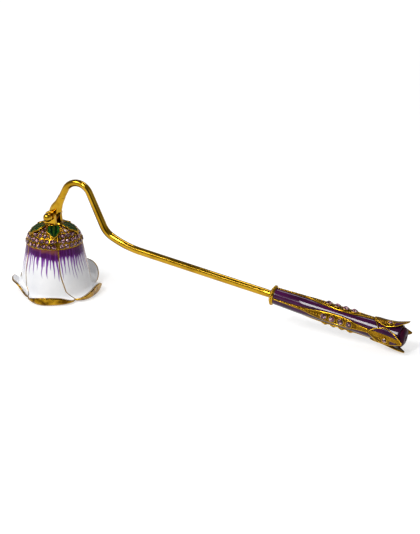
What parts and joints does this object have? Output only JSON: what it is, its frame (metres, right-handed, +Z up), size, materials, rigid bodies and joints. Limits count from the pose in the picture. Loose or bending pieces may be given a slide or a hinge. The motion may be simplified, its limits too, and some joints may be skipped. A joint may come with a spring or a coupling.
{
  "type": "candle snuffer",
  "caption": "Candle snuffer with a flower-shaped bell on a pin hinge at the end of a bent rod, and a slim enamelled handle.",
  "frame": {"origin": "centre of the bell's mouth, on the table that the bell stands on", "axes": "+Z up along the bell's axis, +X from the bell towards the handle's tail, +Y along the hinge pin to its capped end"},
  "size_m": [0.249, 0.0568, 0.0711],
  "materials": {
    "gold_plate": "polished gold plate",
    "petal_enamel": "glossy white enamel with purple streaks at the top",
    "green_enamel": "glossy green enamel",
    "purple_enamel": "glossy dark purple enamel",
    "lilac_crystal": "faceted lilac crystal"
  },
  "bodies": {
    "wand": {"rod": "gold_plate", "rod_knuckle": "gold_plate", "handle_collar": "gold_plate", "handle_core": "gold_plate", "tail_bud": "purple_enamel", "handle_enamel_1": "purple_enamel", "handle_strap_1": "gold_plate", "strap_crystals_1": "lilac_crystal", "sepal_1": "gold_plate", "sepal_enamel_1": "purple_enamel", "handle_enamel_2": "purple_enamel", "handle_strap_2": "gold_plate", "strap_crystals_2": "lilac_crystal", "sepal_2": "gold_plate", "sepal_enamel_2": "purple_enamel", "handle_enamel_3": "purple_enamel", "handle_strap_3": "gold_plate", "strap_crystals_3": "lilac_crystal", "sepal_3": "gold_plate", "sepal_enamel_3": "purple_enamel", "handle_enamel_4": "purple_enamel", "handle_strap_4": "gold_plate", "strap_crystals_4": "lilac_crystal", "sepal_4": "gold_plate", "sepal_enamel_4": "purple_enamel", "sepal_crystals": "lilac_crystal"},
    "bell": {"petal_1": "gold_plate", "petal_enamel_1": "petal_enamel", "crown_crystals_1": "lilac_crystal", "calyx_leaf_1": "gold_plate", "leaf_enamel_1": "green_enamel", "petal_2": "gold_plate", "petal_enamel_2": "petal_enamel", "crown_crystals_2": "lilac_crystal", "calyx_leaf_2": "gold_plate", "leaf_enamel_2": "green_enamel", "petal_3": "gold_plate", "petal_enamel_3": "petal_enamel", "crown_crystals_3": "lilac_crystal", "calyx_leaf_3": "gold_plate", "leaf_enamel_3": "green_enamel", "petal_4": "gold_plate", "petal_enamel_4": "petal_enamel", "crown_crystals_4": "lilac_crystal", "calyx_leaf_4": "gold_plate", "leaf_enamel_4": "green_enamel", "petal_5": "gold_plate", "petal_enamel_5": "petal_enamel", "crown_crystals_5": "lilac_crystal", "calyx_leaf_5": "gold_plate", "leaf_enamel_5": "green_enamel", "bell_cup": "gold_plate", "hinge_bracket": "gold_plate", "hinge_pin": "gold_plate", "pin_cap": "gold_plate"}
  },
  "joints": [
    {"name": "bell_swing", "type": "hinge", "parent": "wand", "child": "bell", "pos_m": [0, 0, 0.04756], "axis": [0, 1, 0], "range_deg": [-40, 120]}
  ]
}
